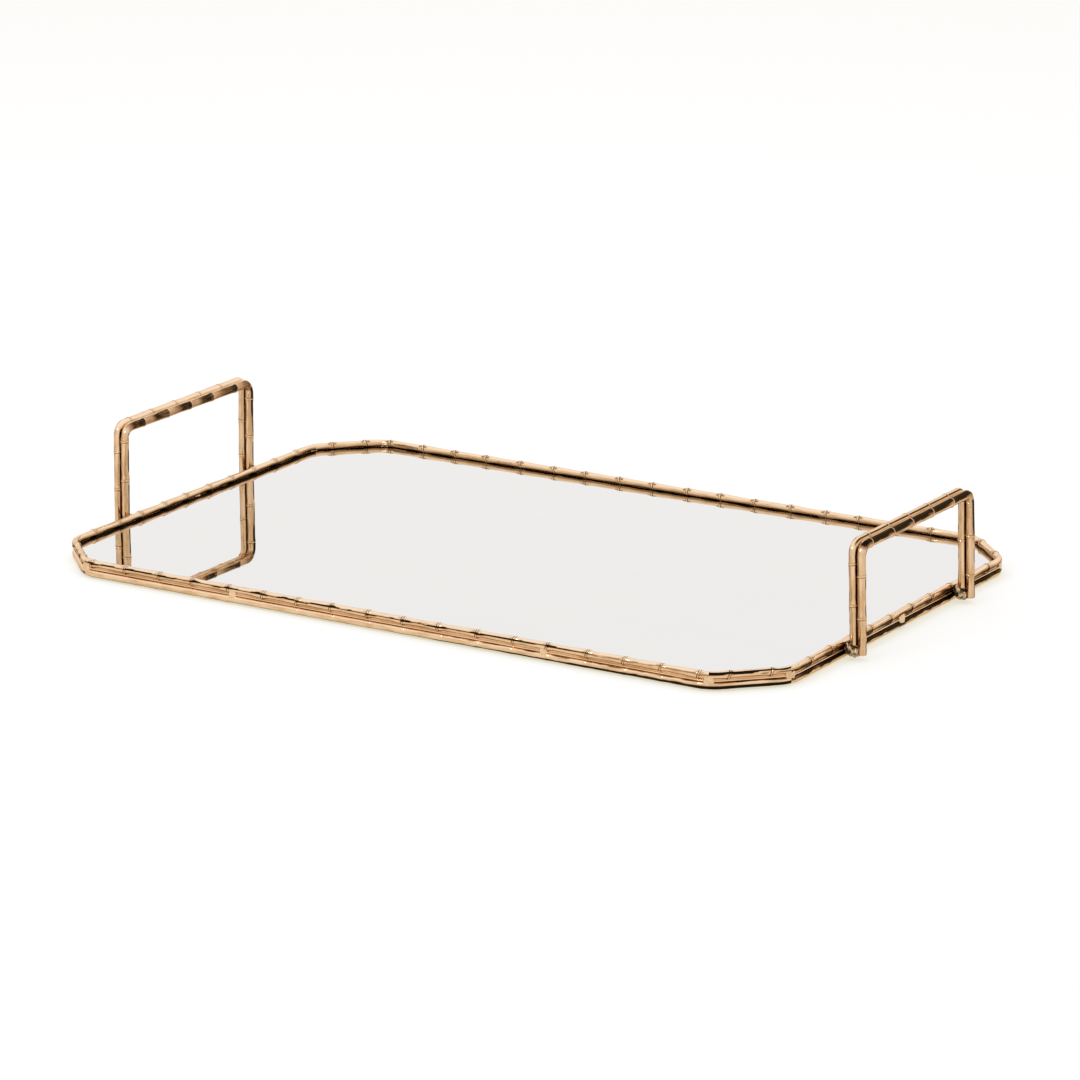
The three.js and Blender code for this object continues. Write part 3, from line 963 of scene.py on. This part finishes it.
QUARTER = (HALF_LENGTH - CORNER_CUT) / 2
for k, (tag, side, sign) in enumerate((("l", "left", -1), ("r", "right", 1))):
    for rail_name, way in (("front", -1), ("back", 1)):
        ring_bead(f"weld_{rail_name}_{tag}", sign * QUARTER, way * HALF_WIDTH, Vector((0, way)),
                  LONG_BEAD_LENGTH, BEAD_SEEDS[rail_name] + k)
    ring_bead(f"weld_end_{side}", sign * HALF_LENGTH, 0, Vector((sign, 0)),
              END_BEAD_LENGTH, BEAD_SEEDS["end"] + k, END_BEAD_SIZE)


def leg_bead(hoop, end, sy, seed):
    """The lumpy weld that fills in between the end rails and the two legs of a hoop."""
    rng = random.Random(seed)
    sign = hoop["sign"]
    y = sy * HANDLE_HALF

    def lump(off, dy, z, *radii):
        """A ball at mm outside the rails' centre, along from the leg, and above the floor."""
        j = [rng.uniform(-0.25, 0.25) * MM for _ in range(3)]
        at = (sign * (HALF_LENGTH + off * MM) + j[0], y + dy * MM + j[1], z * MM + j[2])
        return at, tuple(r * MM for r in radii)

    lumps = [
        lump(3.2, 0.0, 6.4, 2.3, 3.8, 3.9),
        lump(5.2, -1.6, 5.0, 2.5, 3.0, 3.3),
        lump(6.6, 1.6, 5.6, 2.4, 2.8, 3.6),
        lump(8.2, -0.2, 4.8, 2.4, 3.2, 2.7),
        lump(3.9, 3.2, 7.6, 1.7, 1.7, 1.8),
        lump(4.6, -3.3, 7.6, 1.8, 1.7, 1.9),
        lump(6.2, -3.4, 5.2, 1.7, 1.6, 2.1),
        lump(8.0, -2.6, 3.6, 1.6, 1.6, 1.8),
        lump(7.6, 3.1, 4.2, 1.5, 1.7, 1.8),
    ]
    weld(f"weld_leg_{hoop['side']}_{end}", lumps, seed, BRAZE, LEG_BEAD_ROUGH)


for k, hoop in enumerate(HOOPS):
    for end, sy in (("front", -1), ("back", 1)):
        leg_bead(hoop, end, sy, BEAD_SEEDS[f"leg_{end}"] + k)


# ---- studio ----
FLOOR_HALF = 9.0


def stage_plane(name, corners, material):
    mesh = bpy.data.meshes.new(name)
    mesh.from_pydata(corners, [], [tuple(range(len(corners)))])
    mesh.materials.append(material)
    obj = bpy.data.objects.new(name, mesh)
    bpy.context.scene.collection.objects.link(obj)


def floor_material():
    """Pale paper that also glows a little, which keeps the shadow beside the tray pale."""
    s = Shader("floor_paper")
    grain = s.noise(s.place(), 40.0, 3.0)
    s.set("Base Color", s.mix(grain, (0.28, 0.31, 0.435), (0.285, 0.315, 0.44)))
    s.bsdf.inputs["Emission Color"].default_value = (0.66, 0.62, 0.47, 1.0)
    s.bsdf.inputs["Emission Strength"].default_value = 1.0
    s.set("Roughness", 0.9)
    s.set("Specular IOR Level", 0.1)
    return s.material


def softbox(name, place, aim, width, height, power):
    light = bpy.data.lights.new(name, "AREA")
    light.shape = "RECTANGLE"
    light.size, light.size_y = width, height
    light.energy = power
    obj = bpy.data.objects.new(name, light)
    obj.location = place
    obj.rotation_euler = (Vector(aim) - Vector(place)).to_track_quat("-Z", "Y").to_euler()
    bpy.context.scene.collection.objects.link(obj)
    return obj


def build_studio():
    r = FLOOR_HALF
    stage_plane("floor", [(-r, -r, 0), (r, -r, 0), (r, r, 0), (-r, r, 0)], floor_material())
    world = bpy.data.worlds.new("studio")
    world.use_nodes = True
    background = world.node_tree.nodes["Background"]
    background.inputs["Color"].default_value = (1.0, 0.995, 0.985, 1.0)
    background.inputs["Strength"].default_value = 1.0
    bpy.context.scene.world = world
    overhead = softbox(
        "overhead", place=(-0.3, 0.1, 1.7), aim=(0, 0, 0), width=1.8, height=1.4, power=10.5)
    # unseen in the mirror, which would otherwise be as white as the floor from above
    overhead.visible_glossy = False
    softbox("key", place=(-0.22, -1.22, 1.0), aim=(0.1, 0, 0), width=0.32, height=0.22, power=2.4)


build_studio()
bpy.context.scene.view_settings.view_transform = "Standard"


# ---- camera ----
def build_camera():
    data = bpy.data.cameras.new("camera")
    data.lens = LENS
    data.sensor_width = SENSOR
    data.clip_end = CLIP_END
    obj = bpy.data.objects.new("camera", data)
    back = Vector((
        math.sin(AZIMUTH) * math.cos(ELEVATION),
        -math.cos(AZIMUTH) * math.cos(ELEVATION),
        math.sin(ELEVATION),
    ))
    obj.location = AIM + back * DISTANCE
    obj.rotation_euler = (-back).to_track_quat("-Z", "Y").to_euler()
    bpy.context.scene.collection.objects.link(obj)
    bpy.context.scene.camera = obj


build_camera()
